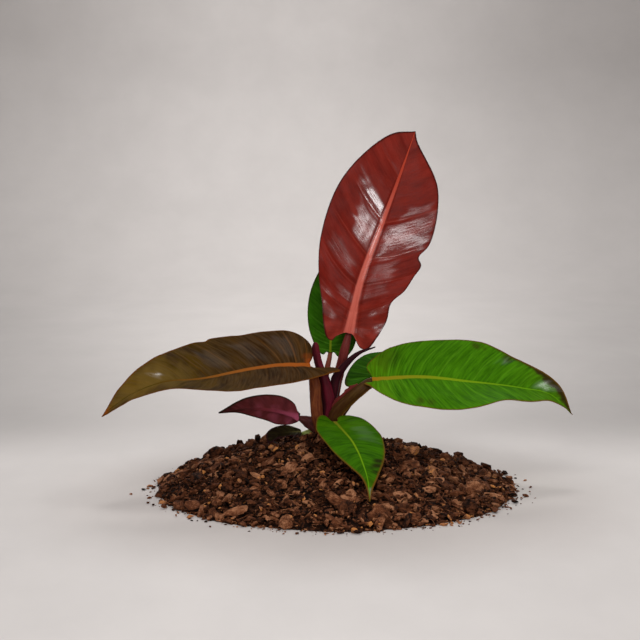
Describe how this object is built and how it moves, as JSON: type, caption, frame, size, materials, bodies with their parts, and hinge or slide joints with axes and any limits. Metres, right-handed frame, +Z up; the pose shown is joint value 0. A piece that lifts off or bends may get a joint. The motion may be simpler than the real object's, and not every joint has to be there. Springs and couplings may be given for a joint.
{
  "type": "philodendron plant in a mound of potting soil",
  "caption": "Young philodendron with red, bronze and green arrow-shaped leaves on maroon stems, standing in a loose mound of bark potting mix.",
  "frame": {"origin": "centre of the flat underside of the soil mound, on the surface that it stands on", "axes": "+Z up; +X towards the large green leaf and -X towards the bronze leaf; -Y towards the small front leaf, the side that the picture shows"},
  "size_m": [0.3486, 0.272, 0.2692],
  "materials": {
    "soil": "loose dark brown bark chips and crumbs, matt",
    "red_leaf": "glossy brick red leaf with a coral midrib",
    "bronze_leaf": "satin olive bronze leaf with an orange midrib",
    "green_leaf": "satin mid green leaf with yellow-green veins",
    "purple_leaf": "satin maroon underside of a young leaf",
    "maroon_stem": "satin maroon leaf stalk",
    "brown_stem": "satin red-brown leaf stalk"
  },
  "bodies": {
    "root": {"soil_mound": "soil", "crown_and_roots": "brown_stem", "new_shoot": "maroon_stem", "magenta_sheath": "maroon_stem", "petiole_red": "maroon_stem", "petiole_back": "maroon_stem", "petiole_rear": "brown_stem", "petiole_bronze": "brown_stem", "petiole_green": "brown_stem", "petiole_front": "brown_stem", "petiole_purple": "brown_stem", "petiole_low": "brown_stem", "leaf_red": "red_leaf", "leaf_bronze": "bronze_leaf", "leaf_green": "green_leaf", "leaf_front": "green_leaf", "leaf_back": "green_leaf", "leaf_rear": "green_leaf", "leaf_low": "green_leaf", "leaf_purple": "purple_leaf"}
  },
  "joints": []
}
